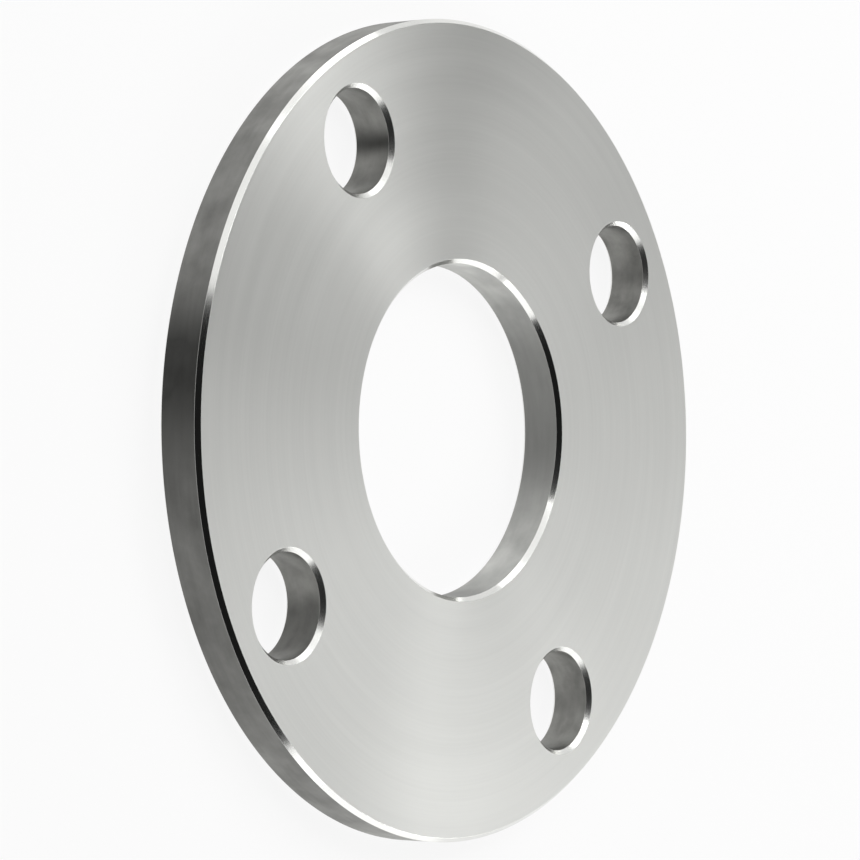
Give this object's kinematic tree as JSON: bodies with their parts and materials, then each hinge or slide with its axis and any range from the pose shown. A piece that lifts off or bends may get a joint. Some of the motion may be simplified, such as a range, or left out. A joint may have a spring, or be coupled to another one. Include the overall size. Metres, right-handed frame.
{
  "type": "plate flange",
  "caption": "Flat steel plate flange with a plain central bore, a circle of plain bolt holes and chamfered edges.",
  "frame": {"origin": "centre of the bore on the back face, which is the face it lies on", "axes": "+Z along the bore axis, from the back face to the front face; X and Y each pass midway between two bolt holes"},
  "size_m": [0.1524, 0.1524, 0.009],
  "materials": {
    "machined_steel": "satin turned faces and rim, bare and unpainted"
  },
  "bodies": {
    "root": {"plate_flange": "machined_steel"}
  },
  "joints": []
}
